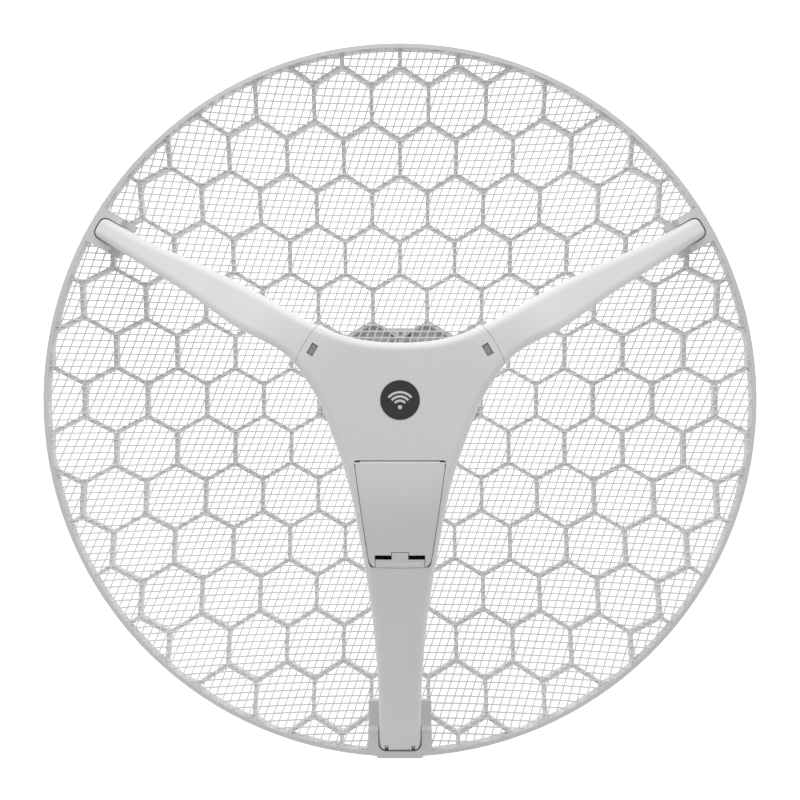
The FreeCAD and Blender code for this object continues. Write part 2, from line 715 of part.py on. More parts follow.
def door_skin():
    """The door and its latch as one plate that follows the face."""
    block = door_block(0, DOOR_CORNER, DOOR_FOOT_CORNER)
    return block.common(door_swing(0)).common(between_depths(0, WALL))


def port_door(skin):
    """The door over the socket: it follows the face, and its rounded top edge carries the hinge pins."""
    plate = skin.cut(column(-40, 40, DOOR_HINGE_Z, 0))
    half = DOOR_TOP_HALF - DOOR_CORNER
    knuckle = rod(WALL / 2, vec(-half, DOOR_HINGE_Y, DOOR_HINGE_Z), vec(half, DOOR_HINGE_Y, DOOR_HINGE_Z))
    reach = DOOR_TOP_HALF + DOOR_PIN_LENGTH
    pins = rod(DOOR_PIN_R, vec(-reach, DOOR_HINGE_Y, DOOR_HINGE_Z), vec(reach, DOOR_HINGE_Y, DOOR_HINGE_Z))
    body = joined([plate, knuckle, pins])
    return body.cut(latch_room(0.3))


def latch_blank(grow):
    """The latch seen from the front: a tab with a wide grip bar below it."""
    tab = column(-LATCH_HALF - grow, LATCH_HALF + grow, LATCH_BAR_TOP_Z - 0.5, LATCH_PIVOT_Z + grow)
    bar = column(-LATCH_BAR_HALF - grow, LATCH_BAR_HALF + grow, DOOR_BOTTOM_Z - 5, LATCH_BAR_TOP_Z + grow)
    return tab.fuse(bar)


def latch_room(gap):
    """What is cut out of the door for the latch: its blank with a gap, and the two slots beside the tab."""
    slots = column(-LATCH_BAR_HALF - gap, LATCH_BAR_HALF + gap, LATCH_BAR_TOP_Z - 1, SLOT_TOP_Z)
    return latch_blank(gap).fuse(slots)


def door_latch(skin):
    """The sprung latch in the door's foot, with a raised grip along its bar."""
    plate = latch_blank(0).common(skin)
    grip_z = LATCH_BAR_TOP_Z - 2.2
    left_end = vec(-LATCH_GRIP_HALF, face_y(-grip_z) + 0.6, grip_z)
    right_end = vec(LATCH_GRIP_HALF, left_end.y, grip_z)
    ends = [Part.makeSphere(LATCH_GRIP_R, end) for end in (left_end, right_end)]
    return joined([plate, rod(LATCH_GRIP_R, left_end, right_end)] + ends)


def front_badge():
    """A plain round badge set in the hub's face."""
    return rod(BADGE_R, vec(0, HUB_FACE_Y - BADGE_PROUD, 0), vec(0, HUB_FACE_Y + BADGE_DEPTH - 0.05, 0))


# --- Electronics ---


def board_outline(y):
    """The board's flat outline, narrower at the foot."""
    corners = [(BOARD_TOP_HALF, BOARD_TOP_Z), (BOARD_BOTTOM_HALF, BOARD_BOTTOM_Z),
               (-BOARD_BOTTOM_HALF, BOARD_BOTTOM_Z), (-BOARD_TOP_HALF, BOARD_TOP_Z)]
    return Part.Face(Part.makePolygon([vec(x, y, z) for x, z in corners + corners[:1]]))


def main_board():
    """The circuit board, with its screw holes."""
    board = board_outline(BOARD_FRONT_Y).extrude(vec(0, BOARD, 0))
    holes = rods_along_y(BOARD_SCREWS, SCREW_R, BOARD_FRONT_Y - 1, BOARD_FRONT_Y + BOARD + 1)
    return board.cut(Part.makeCompound(holes))


def screws(places, head_y, length, head, radius, facing):
    """Pan-head screws along Y. Facing is +1 for heads towards the dish's back, -1 for the front."""
    pieces = []
    for x, z in places:
        shank = rod(radius, vec(x, head_y, z), vec(x, head_y - facing * length, z))
        cap = rod(head, vec(x, head_y, z), vec(x, head_y + facing * 1.6, z))
        low_y = head_y + facing * 1.3 - 0.5
        slot = box(x - head, x + head, low_y, low_y + 1, z - 0.35, z + 0.35)
        cross = box(x - 0.35, x + 0.35, low_y, low_y + 1, z - head, z + head)
        drive = slot.fuse(cross).common(rod(head * 0.62, vec(x, head_y, z), vec(x, head_y + facing * 3, z)))
        pieces.append(shank.fuse(cap).cut(drive))
    return Part.makeCompound(pieces)


def feed_patch():
    """The radiating patch of the feed, inside the radome."""
    return box(-FEED_HALF, FEED_HALF, FEED_PATCH_Y, FEED_PATCH_Y + 1.2, -FEED_HALF, FEED_HALF)


def feed_plate():
    """The feed's ground plate, with holes that the posts pass through."""
    half = FEED_PLATE_HALF
    plate = box(-half, half, FEED_PLATE_Y, FEED_PLATE_Y + 1, -half, half - 3)
    return plate.cut(Part.makeCompound(rods_along_y(FEED_POSTS, 2.2, FEED_PLATE_Y - 1, FEED_PLATE_Y + 2)))


def feed_posts():
    """The nylon posts that hold the patch off the board."""
    return Part.makeCompound(rods_along_y(FEED_POSTS, 2, BOARD_FRONT_Y + BOARD, FEED_PATCH_Y))


def rf_shield():
    """A five-sided can on the front of the board."""
    can = box(-13, 13, -207.0, BOARD_FRONT_Y, -12, 14)
    return can.cut(box(-12.5, 12.5, -206.5, BOARD_FRONT_Y + 1, -11.5, 13.5))


def ethernet_jack():
    """The cable socket on the board's front, with its mouth facing down."""
    shell = box(-JACK_HALF, JACK_HALF, JACK_FRONT_Y, BOARD_FRONT_Y, BOARD_BOTTOM_Z, JACK_TOP_Z)
    mouth = box(-JACK_HOLE_HALF, JACK_HOLE_HALF, JACK_FRONT_Y + 2.6, JACK_FRONT_Y + 11.2, BOARD_BOTTOM_Z - 1,
                BOARD_BOTTOM_Z + JACK_HOLE_DEPTH)
    key = box(-2.8, 2.8, JACK_FRONT_Y + 1.2, JACK_FRONT_Y + 3.0, BOARD_BOTTOM_Z - 1, BOARD_BOTTOM_Z + 10)
    return shell.cut(mouth.fuse(key))


def button_base():
    """The reset button's casing on the board."""
    base = box(BUTTON_X - 2.4, BUTTON_X + 2.4, -206.0, BOARD_FRONT_Y, BUTTON_Z - 2.4, BUTTON_Z + 2.4)
    hole = rod(1.15, vec(BUTTON_X, -210, BUTTON_Z), vec(BUTTON_X, BOARD_FRONT_Y - 0.8, BUTTON_Z))
    return base.cut(hole)


def reset_button():
    """The reset button's plunger."""
    return rod(1.09, vec(BUTTON_X, -208.2, BUTTON_Z), vec(BUTTON_X, BOARD_FRONT_Y - 1.6, BUTTON_Z))


def status_leds():
    """The row of small lamps beside the cable socket."""
    lamp = box(LED_X - 0.8, LED_X + 0.8, BOARD_FRONT_Y - 1, BOARD_FRONT_Y, -0.6, 0.6)
    return Part.makeCompound([lamp.translated(vec(0, 0, z)) for z in (-30, -33, -36, -39)])


# --- Tilt bracket and pole clamp ---


def rounded_ear(inner_x, thickness, root_y):
    """A plate square to X, from a root at one side to a round end about the pivot."""
    root = box(inner_x, inner_x + thickness, min(root_y, PIVOT_Y), max(root_y, PIVOT_Y), -EAR_R, EAR_R)
    end = rod(EAR_R, vec(inner_x, PIVOT_Y, 0), vec(inner_x + thickness, PIVOT_Y, 0))
    hole = rod(PIVOT_R + PIVOT_FIT, vec(inner_x - 1, PIVOT_Y, 0), vec(inner_x + thickness + 1, PIVOT_Y, 0))
    return root.fuse(end).cut(hole)


def mount_bracket():
    """The dish's half of the tilt joint: a base plate with two ears."""
    base = box(-BASE_HALF_X, BASE_HALF_X, BASE_FRONT_Y, BASE_FRONT_Y + BASE, -BASE_HALF_Z, BASE_HALF_Z)
    base = base.makeFillet(5, [e for e in base.Edges if abs(e.BoundBox.YLength - BASE) < 0.01])
    ear = rounded_ear(EAR_INNER_X, EAR, BASE_FRONT_Y + BASE - 0.5)
    holes = rods_along_y(BRACKET_SCREWS, 1.5, BASE_FRONT_Y - 1, BASE_FRONT_Y + BASE + 1)
    return joined([base, ear, mirrored(ear)]).cut(Part.makeCompound(holes))


def pole_saddle():
    """The root: a jaw on the pole, a bridge round the band's channel, and two cheeks for the pivot."""
    half_z = SADDLE_HALF_HEIGHT
    tube = Part.makeCylinder(JAW_R, 2 * half_z, vec(0, 0, -half_z))
    wedge_half = 60 * math.tan(math.radians(JAW_HALF_ANGLE))
    apex = vec(0, 0, -half_z)
    corners = [apex, vec(-wedge_half, -60, -half_z), vec(wedge_half, -60, -half_z), apex]
    sector = Part.Face(Part.makePolygon(corners)).extrude(vec(0, 0, 2 * half_z))
    jaw = tube.common(sector)
    bridge = box(-CHEEK_INNER_X - CHEEK, CHEEK_INNER_X + CHEEK, -28.5, -16, -half_z, half_z)
    cheek = rounded_ear(CHEEK_INNER_X, CHEEK, -28.0)
    channel_r = JAW_R + 1.6
    channel = Part.makeCylinder(channel_r, 2 * BAND_HALF_WIDTH + 1.2, vec(0, 0, -BAND_HALF_WIDTH - 0.6)).cut(
        Part.makeCylinder(JAW_R, 2 * BAND_HALF_WIDTH + 1.2, vec(0, 0, -BAND_HALF_WIDTH - 0.6)))
    bore = Part.makeCylinder(POLE_R, 2 * half_z + 2, vec(0, 0, -half_z - 1))
    return joined([jaw, bridge, cheek, mirrored(cheek)]).cut(channel).cut(bore)


def tilt_bolt():
    """The bolt that the dish tilts on, with its head on the right."""
    reach = EAR_INNER_X + EAR + 1.2
    shank = rod(PIVOT_R, vec(-reach - 6.5, PIVOT_Y, 0), vec(reach, PIVOT_Y, 0))
    head = hex_rod(10, vec(reach, PIVOT_Y, 0), vec(reach + 4, PIVOT_Y, 0))
    return shank.fuse(head)


def tilt_nut():
    """The bolt's nut, on the left."""
    start = -(EAR_INNER_X + EAR + 1.2)
    nut = hex_rod(10, vec(start, PIVOT_Y, 0), vec(start - 5, PIVOT_Y, 0))
    return nut.cut(rod(PIVOT_R, vec(start + 1, PIVOT_Y, 0), vec(start - 6, PIVOT_Y, 0)))


def tilt_washers():
    """The two washers outside the bracket's ears."""
    start = EAR_INNER_X + EAR
    ring = rod(6, vec(start + 0.05, PIVOT_Y, 0), vec(start + 1.2, PIVOT_Y, 0)).cut(
        rod(PIVOT_R + 0.1, vec(start, PIVOT_Y, 0), vec(start + 2, PIVOT_Y, 0)))
    return Part.makeCompound([ring, mirrored(ring)])


def band_loop(grow):
    """The band's path seen from above: round the pole's back and outside the jaw at the front."""
    rear = BAND_R + grow
    front = BAND_FRONT_R + grow
    turn = math.radians(90 - JAW_HALF_ANGLE - 2)
    low = vec(front * math.cos(turn), -front * math.sin(turn), 0)
    edges = [
        arc(vec(rear, 0, 0), vec(0, rear, 0), vec(-rear, 0, 0)),
        line(vec(-rear, 0, 0), vec(-low.x, low.y, 0)),
        arc(vec(-low.x, low.y, 0), vec(0, -front, 0), low),
        line(low, vec(rear, 0, 0)),
    ]
    face = Part.Face(Part.Wire(edges))
    face.translate(vec(0, 0, -BAND_HALF_WIDTH))
    return face.extrude(vec(0, 0, 2 * BAND_HALF_WIDTH))


def clamp_band():
    """The band that holds the jaw to the pole."""
    return band_loop(BAND).cut(band_loop(0))


def clamp_housing():
    """The worm's housing on the back of the band."""
    block = box(-7, 7, BAND_R - 1, HOUSING_Y + 4.6, -7.4, 7.4)
    back_edges = [e for e in block.Edges if e.BoundBox.XLength > 13 and e.CenterOfMass.y > HOUSING_Y]
    block = block.makeFillet(2, back_edges)
    hugging = Part.makeCylinder(BAND_R + BAND, 20, vec(0, 0, -10))
    return block.cut(hugging).cut(rod(WORM_R + WORM_FIT, vec(-8, HOUSING_Y, 0), vec(8, HOUSING_Y, 0)))


def clamp_screw():
    """The worm screw with its hexagonal head and driver slot."""
    shank = rod(WORM_R, vec(-9, HOUSING_Y, 0), vec(9, HOUSING_Y, 0))
    head = hex_rod(7, vec(9, HOUSING_Y, 0), vec(14, HOUSING_Y, 0))
    slot = box(12.5, 15, HOUSING_Y - 5, HOUSING_Y + 5, -0.6, 0.6)
    return shank.fuse(head).cut(slot)


def main():
    os.makedirs("parts", exist_ok=True)
    wire = outline()
    body = moulded_body(wire)
    cavity = prism(inset(wire, WALL)).common(between_face_and_back(WALL, -20))
    skin = door_skin()

    save("reflector_grid", reflector_grid())
    save("reflector_mesh", reflector_mesh())
    save("front_cover", front_cover(body, cavity))
    save("right_arm", upper_arm(body, cavity, True))
    save("left_arm", upper_arm(body, cavity, False))
    save("hub_rear_cover", hub_rear_cover(wire))
    save("lower_arm_cover", lower_arm_cover(wire))
    save("port_door", port_door(skin))
    save("door_latch", door_latch(skin))
    save("front_badge", front_badge())
    save("main_board", main_board())
    save("board_screws", screws(BOARD_SCREWS, BOARD_FRONT_Y + BOARD, 7, SCREW_HEAD_R, SCREW_R, 1))
    save("cover_screws", screws(COVER_SCREWS, HUB_BACK_Y, 10, SCREW_HEAD_R, SCREW_R, 1))
    save("feed_patch", feed_patch())
    save("feed_plate", feed_plate())
    save("feed_posts", feed_posts())
    save("rf_shield", rf_shield())
    save("ethernet_jack", ethernet_jack())
    save("button_base", button_base())
    save("reset_button", reset_button())
    save("status_leds", status_leds())
    save("mount_bracket", mount_bracket())
    save("bracket_screws", screws(BRACKET_SCREWS, BOSS_FRONT_Y, 7, 2.8, 1.5, -1))
    save("pole_saddle", pole_saddle())
    save("tilt_bolt", tilt_bolt())
    save("tilt_nut", tilt_nut())
    save("tilt_washers", tilt_washers())
    save("clamp_band", clamp_band())
    save("clamp_housing", clamp_housing())
    save("clamp_screw", clamp_screw())


main()
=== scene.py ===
"""Looks of the parabolic grid antenna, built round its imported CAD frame.

Metres, +Z up, and the dish faces -Y.
"""

import json
import math

import bmesh
import bpy
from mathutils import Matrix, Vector


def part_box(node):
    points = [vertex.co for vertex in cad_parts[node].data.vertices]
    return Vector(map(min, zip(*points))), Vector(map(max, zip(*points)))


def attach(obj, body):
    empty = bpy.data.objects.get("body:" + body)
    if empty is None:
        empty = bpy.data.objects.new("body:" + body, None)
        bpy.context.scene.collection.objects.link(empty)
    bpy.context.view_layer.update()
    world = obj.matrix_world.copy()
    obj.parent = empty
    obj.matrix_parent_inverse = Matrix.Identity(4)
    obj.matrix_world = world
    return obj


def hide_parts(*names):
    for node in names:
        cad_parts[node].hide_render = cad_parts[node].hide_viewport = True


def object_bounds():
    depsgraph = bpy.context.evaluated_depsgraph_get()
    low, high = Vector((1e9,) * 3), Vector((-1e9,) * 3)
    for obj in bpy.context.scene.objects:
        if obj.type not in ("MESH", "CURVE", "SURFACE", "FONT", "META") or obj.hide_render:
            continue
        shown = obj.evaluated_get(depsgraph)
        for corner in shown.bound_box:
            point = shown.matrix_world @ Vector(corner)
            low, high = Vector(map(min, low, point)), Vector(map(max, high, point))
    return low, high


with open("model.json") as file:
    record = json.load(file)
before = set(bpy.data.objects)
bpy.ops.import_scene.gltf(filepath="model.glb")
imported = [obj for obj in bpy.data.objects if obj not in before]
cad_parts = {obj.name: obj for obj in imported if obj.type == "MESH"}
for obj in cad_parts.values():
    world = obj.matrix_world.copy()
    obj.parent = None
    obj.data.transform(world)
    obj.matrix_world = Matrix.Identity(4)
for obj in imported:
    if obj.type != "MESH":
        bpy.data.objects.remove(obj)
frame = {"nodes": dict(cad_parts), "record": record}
cad_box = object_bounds()

# --- Driving dimensions, as in the CAD model ---
FOCAL_LENGTH = 0.150
VERTEX_Y = -0.054
ARM_ANGLE = math.radians(30)

# --- Mesh settings ---
PIECE_CREASE = 40
CAD_CREASE = 28
ROUND_STEPS = 32
CORNER_POWER = 0.35
NEARLY_PARALLEL = 1e-9
PAST_THE_RIM = 1.0

# --- The wire screen: places in a socket are its angle, inner radius and half width ---
LEVEL_WIRE_PITCH = 0.003685
LEVEL_WIRE_SHIFT = 0.0001
SLANT_WIRE_PITCH = 0.004168
SLANT_WIRE_LEAN = math.radians(20)
WIRE_RADIUS = 0.00046
WIRE_SIDES = 6
WIRE_STEP = 0.006
SHORTEST_SPAN = 4 * WIRE_RADIUS
SCREEN_FRONT = 0.0004
SCREEN_EDGE_R = 0.1934
SOCKETS = (
    (ARM_ANGLE, 0.1750, 0.0103),
    (math.pi - ARM_ANGLE, 0.1750, 0.0103),
    (-math.pi / 2, 0.1670, 0.0175),
)

# --- Caps on the ribs ---
CELL_PITCH = 0.032
LATTICE_REACH = 8
MIDDLES_PER_METRE = 10000
CAP_WIDTH = 0.0023
CAP_FRONT = 0.00004
CAP_BACK = 0.0006
CAP_EDGE_R = 0.1935
CAP_STEPS = 4
CENTRE_PLATE_R = 0.045

# --- The centre plate's face ---
PLATE_CORNERS = ((0.0092, 0.0426), (0.0159, 0.0459), (0.0316, 0.0368), (0.0316, 0.0183), (0.0476, 0.0091))
PLATE_FRONT_Y = -0.0532
PLATE_THICKNESS = 0.0006
SLOT_CENTRES_X = (-0.0049, 0.0003, 0.0055)
SLOT_HALF_WIDTH = 0.0010
SLOT_HALF_HEIGHT = 0.0015
SLOT_TOP_Z = 0.0390
SLOT_PITCH = 0.0056
SLOT_ROWS = 5
SLOT_RELIEF = 0.00005
RIDGE_CENTRES_X = (-0.0136, -0.0102, 0.0102, 0.0136)
RIDGE_HALF_WIDTH = 0.0005
RIDGE_HEIGHT = 0.0003
RIDGE_END_GAP = 0.003

# --- Hooks in the seam windows ---
HOOK_R = 0.0481
HOOK_HALF_LENGTH = 0.0013
HOOK_HALF_WIDTH = 0.0024
HOOK_FRONT_Y = -0.21895
HOOK_THICKNESS = 0.0003

# --- Badge ---
ARC_COUNT = 3
ARC_FIRST_R = 0.0031
ARC_SPACING = 0.0020
ARC_HALF_WIDTH = 0.00055
ARC_HALF_SPREAD = math.radians(50)
ARC_HEIGHT = 0.00012
ARC_ROOT = 0.00005
ARC_STEPS = 24
DOT_DROP = 0.0034
DOT_R = 0.0010

# --- Texture sizes, as noise scales, and relief ---
TINT_SCALE = 18.0
GLOSS_SCALE = 60.0
PLASTIC_GRAIN = 900.0
PLASTIC_RELIEF = 0.00002
METAL_TINT_SCALE = 90.0
METAL_GRAIN = 420.0
METAL_RELIEF = 0.00001
TRACK_SCALE = 160.0
TRACK_RELIEF = 0.00003
EVEN = (1, 1, 1)

# --- Studio ---
CAMERA_DISTANCE = 0.878
LENS = 62.35
SENSOR = 36.0
CLIP_START = 0.01
FLOOR_DROP = 0.70
FLOOR_SIZE = 1.2
FLOOR_MIDDLE_Y = -0.1
SKY_LEVEL = 0.88
SKY_SLOPE = (0.0, 0.50, 0.34)
KEY_PLACE = (-0.06, -0.62, 0.62)
KEY_TARGET = (0.0, -0.20, 0.0)
KEY_SIZE = 0.7
KEY_POWER = 2.0


# --- Mesh helpers ---


def piece_from(name, builder, body, material):
    """Makes a smooth-shaded piece from a bmesh, riding on a body."""
    mesh = bpy.data.meshes.new(name)
    builder.to_mesh(mesh)
    builder.free()
    shade_by_angle(mesh, PIECE_CREASE)
    piece = bpy.data.objects.new(name, mesh)
    bpy.context.scene.collection.objects.link(piece)
    mesh.materials.append(material)
    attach(piece, body)
    return piece


def shade_by_angle(mesh, degrees):
    """Smooth shading, with a crease where faces meet at more than the angle."""
    mesh.polygons.foreach_set("use_smooth", [True] * len(mesh.polygons))
    mesh.set_sharp_from_angle(angle=math.radians(degrees))


def add_tube(builder, line, radius, sides):
    """A closed tube along a run of points that keeps near one plane."""
    rings = []
    for i, point in enumerate(line):
        ahead = line[min(i + 1, len(line) - 1)]
        behind = line[max(i - 1, 0)]
        along = (ahead - behind).normalized()
        across = along.cross(Vector((0, 1, 0))).normalized()
        outward = across.cross(along)
        turns = [2 * math.pi * (k + 0.5) / sides for k in range(sides)]
        ring = [point + (across * math.cos(t) + outward * math.sin(t)) * radius for t in turns]
        rings.append([builder.verts.new(spot) for spot in ring])
    for first, second in zip(rings, rings[1:]):
        for k in range(sides):
            after = (k + 1) % sides
            builder.faces.new((first[k], first[after], second[after], second[k]))
    builder.faces.new(list(reversed(rings[0])))
    builder.faces.new(rings[-1])


def add_flat_shape(builder, outline, back_y, front_y):
    """A thin plate from an outline of (x, z) points."""
    back = [builder.verts.new((x, back_y, z)) for x, z in outline]
    front = [builder.verts.new((x, front_y, z)) for x, z in outline]
    builder.faces.new(front)
    builder.faces.new(list(reversed(back)))
    count = len(outline)
    for k in range(count):
        after = (k + 1) % count
        builder.faces.new((front[after], front[k], back[k], back[after]))


def full_turn():
    """Evenly spaced angles once round."""
    return [2 * math.pi * k / ROUND_STEPS for k in range(ROUND_STEPS)]


# --- The wire screen ---


def screen_y(x, z):
    """The screen's middle surface, just in front of the ribs."""
    return VERTEX_Y - (x * x + z * z) / (4 * FOCAL_LENGTH) - SCREEN_FRONT


def span_in_circle(start, direction, radius):
    """Where a line is inside a circle about the axis, as a pair of distances along it."""
    middle = -(start[0] * direction[0] + start[1] * direction[1])
    nearest = start[0] ** 2 + start[1] ** 2 - middle**2
    if nearest >= radius**2:
        return None
    half = math.sqrt(radius**2 - nearest)
    return (middle - half, middle + half)


def span_in_socket(start, direction, angle, inner_r, half_width):
    """Where a line is inside an arm socket's block, as a pair of distances along it."""
    out = (math.cos(angle), math.sin(angle))
    side = (-math.sin(angle), math.cos(angle))
    low, high = -PAST_THE_RIM, PAST_THE_RIM
    limits = ((out, inner_r, PAST_THE_RIM), (side, -half_width, half_width))
    for axis, least, most in limits:
        offset = start[0] * axis[0] + start[1] * axis[1]
        rate = direction[0] * axis[0] + direction[1] * axis[1]
        if abs(rate) < NEARLY_PARALLEL:
            if not least <= offset <= most:
                return None
            continue
        first, second = sorted(((least - offset) / rate, (most - offset) / rate))
        low, high = max(low, first), min(high, second)
    return (low, high) if low < high else None


def without(spans, gap):
    """The spans with a gap taken out of them, and with slivers left out."""
    if gap is None:
        return spans
    kept = []
    for low, high in spans:
        kept.append((low, min(high, gap[0])))
        kept.append((max(low, gap[1]), high))
    return [(low, high) for low, high in kept if high - low > SHORTEST_SPAN]


def add_wire(builder, start, direction):
    """One screen wire: straight from the front, and following the bowl in depth."""
    whole = span_in_circle(start, direction, SCREEN_EDGE_R)
    if whole is None:
        return
    spans = [whole]
    for angle, inner_r, half_width in SOCKETS:
        spans = without(spans, span_in_socket(start, direction, angle, inner_r, half_width))
    for low, high in spans:
        steps = max(2, round((high - low) / WIRE_STEP))
        places = [low + (high - low) * i / steps for i in range(steps + 1)]
        flat = [(start[0] + direction[0] * t, start[1] + direction[1] * t) for t in places]
        add_tube(builder, [Vector((x, screen_y(x, z), z)) for x, z in flat], WIRE_RADIUS, WIRE_SIDES)


def screen_wires(material):
    """The screen: level wires crossed by wires that lean to the right."""
    builder = bmesh.new()
    level_count = int(SCREEN_EDGE_R / LEVEL_WIRE_PITCH)
    for i in range(-level_count, level_count + 1):
        add_wire(builder, (0.0, i * LEVEL_WIRE_PITCH + LEVEL_WIRE_SHIFT), (1.0, 0.0))
    lean = (math.sin(SLANT_WIRE_LEAN), math.cos(SLANT_WIRE_LEAN))
    square = (lean[1], -lean[0])
    slant_count = int(SCREEN_EDGE_R / SLANT_WIRE_PITCH)
    for i in range(-slant_count, slant_count + 1):
        offset = (i + 0.5) * SLANT_WIRE_PITCH
        add_wire(builder, (square[0] * offset, square[1] * offset), lean)
    screen = piece_from("screen_wires", builder, "dish", material)
    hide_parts("reflector_mesh")
    return screen


# --- Caps on the ribs ---


def rib_ends():
    """Both ends of every rib in the hexagonal lattice, as (x, z) pairs, each rib once."""
    row_pitch = CELL_PITCH * math.sqrt(3) / 2
    corner_r = CELL_PITCH / math.sqrt(3)
    turns = [math.radians(90 + 60 * k) for k in range(7)]
    found = {}
    for row in range(-LATTICE_REACH, LATTICE_REACH + 1):
        for column in range(-LATTICE_REACH, LATTICE_REACH + 1):
            x = (column + (row % 2) / 2) * CELL_PITCH
            z = row * row_pitch
            corners = [(x + corner_r * math.cos(t), z + corner_r * math.sin(t)) for t in turns]
            for first, second in zip(corners, corners[1:]):
                middle = [(a + b) / 2 for a, b in zip(first, second)]
                key = tuple(round(part * MIDDLES_PER_METRE) for part in middle)
                found[key] = (first, second)
    return list(found.values())


def add_strip(builder, start, direction, low, high):
    """A flat strip along the front of one rib, following the bowl in depth."""
    half = CAP_WIDTH / 2
    side = (-direction[1] * half, direction[0] * half)
    rings = []
    for i in range(CAP_STEPS + 1):
        along = low + (high - low) * i / CAP_STEPS
        x = start[0] + direction[0] * along
        z = start[1] + direction[1] * along
        face_y = screen_y(x, z) + SCREEN_FRONT
        corners = ((1, -CAP_FRONT), (-1, -CAP_FRONT), (-1, CAP_BACK), (1, CAP_BACK))
        ring = [(x + side[0] * k, face_y + depth, z + side[1] * k) for k, depth in corners]
        rings.append([builder.verts.new(spot) for spot in ring])
    for first, second in zip(rings, rings[1:]):
        for k in range(4):
            after = (k + 1) % 4
            builder.faces.new((first[k], second[k], second[after], first[after]))
    builder.faces.new(rings[0])
    builder.faces.new(list(reversed(rings[-1])))


def rib_caps(material):
    """The wider front edges of the ribs, which the screen lies on."""
    builder = bmesh.new()
    for first, second in rib_ends():
        length = math.dist(first, second)
        direction = ((second[0] - first[0]) / length, (second[1] - first[1]) / length)
        inside = span_in_circle(first, direction, CAP_EDGE_R)
        middle_r = math.hypot(first[0] + second[0], first[1] + second[1]) / 2
        if inside is None or middle_r < CENTRE_PLATE_R:
            continue
        spans = [(max(0.0, inside[0]), min(length, inside[1]))]
        for angle, inner_r, half_width in SOCKETS:
            spans = without(spans, span_in_socket(first, direction, angle, inner_r, half_width))
        for low, high in spans:
            if high > low:
                add_strip(builder, first, direction, low, high)
    bmesh.ops.recalc_face_normals(builder, faces=builder.faces)
    return piece_from("rib_caps", builder, "dish", material)


# --- The centre plate's face, and painted shade in its slots ---


def rectangle(x, z, half_width, half_height):
    """A rectangle's corners as (x, z) points."""
    return [(x - half_width, z - half_height), (x + half_width, z - half_height),
            (x + half_width, z + half_height), (x - half_width, z + half_height)]


def plate_face(material):
    """The light front skin of the centre plate, with its upright ridges."""
    builder = bmesh.new()
    right = list(PLATE_CORNERS) + [(x, -z) for x, z in reversed(PLATE_CORNERS)]
    ring = right + [(-x, -z) for x, z in right]
    add_flat_shape(builder, ring, PLATE_FRONT_Y + PLATE_THICKNESS, PLATE_FRONT_Y)
    for x in RIDGE_CENTRES_X:
        strip = rectangle(x, 0, RIDGE_HALF_WIDTH, PLATE_CORNERS[0][1] - RIDGE_END_GAP)
        add_flat_shape(builder, strip, PLATE_FRONT_Y, PLATE_FRONT_Y - RIDGE_HEIGHT)
    bmesh.ops.recalc_face_normals(builder, faces=builder.faces)
    return piece_from("plate_face", builder, "dish", material)


def painted_slot_shade(material):
    """Thin dark plates over the slots in the centre plate's face: painted shade for the dark insides of
    the slots.
    """
    builder = bmesh.new()
    for row in range(SLOT_ROWS):
        for sign in (1, -1):
            z = sign * (SLOT_TOP_Z - row * SLOT_PITCH)
            for x in SLOT_CENTRES_X:
                shape = rectangle(x, z, SLOT_HALF_WIDTH, SLOT_HALF_HEIGHT)
                add_flat_shape(builder, shape, PLATE_FRONT_Y, PLATE_FRONT_Y - SLOT_RELIEF)
    bmesh.ops.recalc_face_normals(builder, faces=builder.faces)
    return piece_from("painted_slot_shade", builder, "dish", material)


# --- Painted shade on the hooks in the seam windows ---


def rounded(value):
    """Pushes a sine or cosine towards its ends, which turns a circle into a rounded rectangle."""
    return math.copysign(abs(value) ** CORNER_POWER, value)


def painted_window_shade(material):
    """Dark plates on the faces of the arms' hooks in the hub's two windows: painted shade, as the hooks
    are the arms' own pale plastic, shaded deep in the windows.
    """
    builder = bmesh.new()
    for side in (1, -1):
        out = (math.cos(ARM_ANGLE) * side, math.sin(ARM_ANGLE))
        across = (-out[1], out[0])
        shape = []
        for turn in full_turn():
            reach = HOOK_R + HOOK_HALF_LENGTH * rounded(math.cos(turn))
            shift = HOOK_HALF_WIDTH * rounded(math.sin(turn))
            shape.append((out[0] * reach + across[0] * shift, out[1] * reach + across[1] * shift))
        add_flat_shape(builder, shape, HOOK_FRONT_Y + HOOK_THICKNESS, HOOK_FRONT_Y)
    bmesh.ops.recalc_face_normals(builder, faces=builder.faces)
    return piece_from("painted_window_shade", builder, "dish", material)


# --- Badge ---


def arc_points(radius, centre_z, turns):
    """Points on a circle about (0, centre_z), with each turn measured from straight up."""
    return [(radius * math.sin(t), centre_z + radius * math.cos(t)) for t in turns]


def badge_arcs(material):
    """Plain signal arcs over a dot, raised on the round badge."""
    low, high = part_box("front_badge")
    face_y = low.y
    dot_z = (low.z + high.z) / 2 - DOT_DROP
    turns = [ARC_HALF_SPREAD * (2 * k / ARC_STEPS - 1) for k in range(ARC_STEPS + 1)]
    builder = bmesh.new()
    for ring in range(ARC_COUNT):
        radius = ARC_FIRST_R + ring * ARC_SPACING
        outer = arc_points(radius + ARC_HALF_WIDTH, dot_z, turns)
        inner = arc_points(radius - ARC_HALF_WIDTH, dot_z, reversed(turns))
        add_flat_shape(builder, outer + inner, face_y + ARC_ROOT, face_y - ARC_HEIGHT)
    add_flat_shape(builder, arc_points(DOT_R, dot_z, full_turn()), face_y + ARC_ROOT, face_y - ARC_HEIGHT)
    bmesh.ops.recalc_face_normals(builder, faces=builder.faces)
    return piece_from("badge_arcs", builder, "dish", material)


# --- Materials ---


def new_material(name):
    """A node material and its shader, with the shader's output already linked."""
    material = bpy.data.materials.new(name)
    material.use_nodes = True
    shader = material.node_tree.nodes["Principled BSDF"]
    return material, shader


